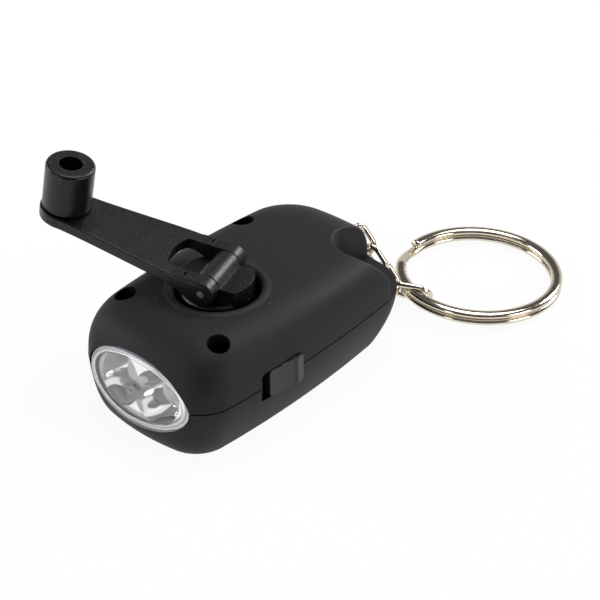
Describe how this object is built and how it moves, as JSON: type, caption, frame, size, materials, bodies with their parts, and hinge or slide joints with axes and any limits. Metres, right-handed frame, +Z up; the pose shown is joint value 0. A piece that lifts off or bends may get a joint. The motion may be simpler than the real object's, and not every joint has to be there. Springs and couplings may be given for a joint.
{
  "type": "hand crank flashlight",
  "caption": "Pocket dynamo torch with a folding crank, oval lens over LED bowls, side slide switch, chain and split ring.",
  "frame": {"origin": "point of the flat base under the crank axis", "axes": "lens faces -Y, switch on +X, +Z up along the crank axis"},
  "size_m": [0.0595, 0.089, 0.0385],
  "materials": {
    "housing": "fine matte moulded ABS, charcoal",
    "case_screw": "copper coloured pan head screw",
    "lens": "clear polished acrylic",
    "reflector": "vacuum metallised plastic",
    "led": "clear epoxy LED",
    "board": "green solder mask on glass epoxy",
    "diode": "black moulded diode",
    "cell": "nickel plated cell can",
    "spring_steel": "nickel plated spring strip",
    "switch_metal": "tinned sheet steel",
    "switch_lever": "black nylon",
    "slider": "black moulded plastic",
    "crank_plastic": "semi-gloss black moulded plastic",
    "arm_plastic": "semi-gloss black moulded plastic",
    "knob_plastic": "semi-gloss black moulded plastic",
    "inner_screw": "zinc plated screw",
    "pin": "ground steel",
    "knob_screw": "yellow zinc plated screw",
    "gear_plastic": "natural acetal",
    "pinion": "machined brass",
    "magnet": "bonded ferrite",
    "inner_plastic": "black moulded plastic",
    "stator": "plated sheet steel",
    "bobbin": "white nylon bobbin",
    "copper_wire": "enamelled copper wire",
    "nickel_wire": "warm nickel plated steel wire",
    "nickel_ring": "warm nickel plated steel ring"
  },
  "bodies": {
    "housing": {"upper_shell": "housing", "lower_shell": "housing", "case_screws": "case_screw", "lens": "lens", "reflector": "reflector", "led_left": "led", "led_right": "led", "led_board": "board", "main_board": "board", "rectifier_diodes": "diode", "button_cell": "cell", "cell_clip": "spring_steel", "switch_can": "switch_metal", "idler_pin_1": "pin", "idler_pin_2": "pin", "gear_plate": "inner_plastic", "plate_screws": "inner_screw", "stator_lower": "stator", "stator_upper": "stator", "coil_bobbin": "bobbin", "coil_winding": "copper_wire", "rear_eyelet": "nickel_wire"},
    "crank": {"crank_hub": "crank_plastic", "drive_gear": "gear_plastic", "hub_screw": "inner_screw", "hinge_pin": "pin"},
    "arm": {"crank_arm": "arm_plastic", "knob_screw": "knob_screw"},
    "knob": {"crank_knob": "knob_plastic"},
    "slider": {"switch_slider": "slider", "switch_lever": "switch_lever"},
    "idler_1": {"idler_gear_1": "gear_plastic"},
    "idler_2": {"idler_gear_2": "gear_plastic"},
    "rotor": {"rotor_pinion": "pinion", "rotor_shaft": "pin", "rotor_magnet": "magnet"},
    "link_1": {"chain_link_1": "nickel_wire"},
    "link_2": {"chain_link_2": "nickel_wire"},
    "link_3": {"chain_link_3": "nickel_wire"},
    "wide_link": {"end_link": "nickel_wire"},
    "ring": {"split_ring": "nickel_ring"}
  },
  "joints": [
    {"name": "crank_spin", "type": "hinge", "parent": "housing", "child": "crank", "pos_m": [0, 0, 0.0202], "axis": [0, 0, 1], "continuous": true},
    {"name": "arm_fold", "type": "hinge", "parent": "crank", "child": "arm", "pos_m": [0, 0, 0.02275], "axis": [-0.314, 0.9494, 0], "range_deg": [-10, 169]},
    {"name": "knob_spin", "type": "hinge", "parent": "arm", "child": "knob", "pos_m": [-0.02614, -0.00864, 0.02953], "axis": [0.1714, 0.0567, 0.9836], "continuous": true},
    {"name": "switch_slide", "type": "slide", "parent": "housing", "child": "slider", "axis": [0, -1, 0], "range_m": [0, 0.0019]},
    {"name": "idler_1_spin", "type": "hinge", "parent": "housing", "child": "idler_1", "pos_m": [0.00298, 0.01291, 0.01035], "axis": [0, 0, 1], "continuous": true},
    {"name": "idler_2_spin", "type": "hinge", "parent": "housing", "child": "idler_2", "pos_m": [-0.00543, 0.00917, 0.00875], "axis": [0, 0, 1], "continuous": true},
    {"name": "rotor_spin", "type": "hinge", "parent": "housing", "child": "rotor", "pos_m": [-0.003, 0.0003, 0.00875], "axis": [0, 0, 1], "continuous": true},
    {"name": "link_1_swing", "type": "hinge", "parent": "housing", "child": "link_1", "pos_m": [-0.00079, 0.0367, 0.013], "axis": [0.829, 0, 0.5592], "range_deg": [-4, 30]},
    {"name": "link_2_swing", "type": "hinge", "parent": "link_1", "child": "link_2", "pos_m": [0.0016, 0.03732, 0.00961], "axis": [-0.0824, 0.9891, 0.1222], "range_deg": [-25, 25]},
    {"name": "link_3_swing", "type": "hinge", "parent": "link_2", "child": "link_3", "pos_m": [0.00399, 0.03794, 0.00622], "axis": [0.8186, -0.0181, 0.5741], "range_deg": [-25, 25]},
    {"name": "wide_link_swing", "type": "hinge", "parent": "link_3", "child": "wide_link", "pos_m": [0.00638, 0.03855, 0.00284], "axis": [-0.0575, 0.9885, 0.1397], "range_deg": [-10, 10]},
    {"name": "ring_turn", "type": "hinge", "parent": "wide_link", "child": "ring", "pos_m": [0.0137, 0.0532, 0.00165], "axis": [0.0167, 0.0398, 0.9991], "continuous": true}
  ],
  "couplings": [
    {"joint": "idler_1_spin", "follows": "crank_spin", "ratio": -3.8182},
    {"joint": "idler_2_spin", "follows": "crank_spin", "ratio": 13.745},
    {"joint": "rotor_spin", "follows": "crank_spin", "ratio": -49.484}
  ]
}
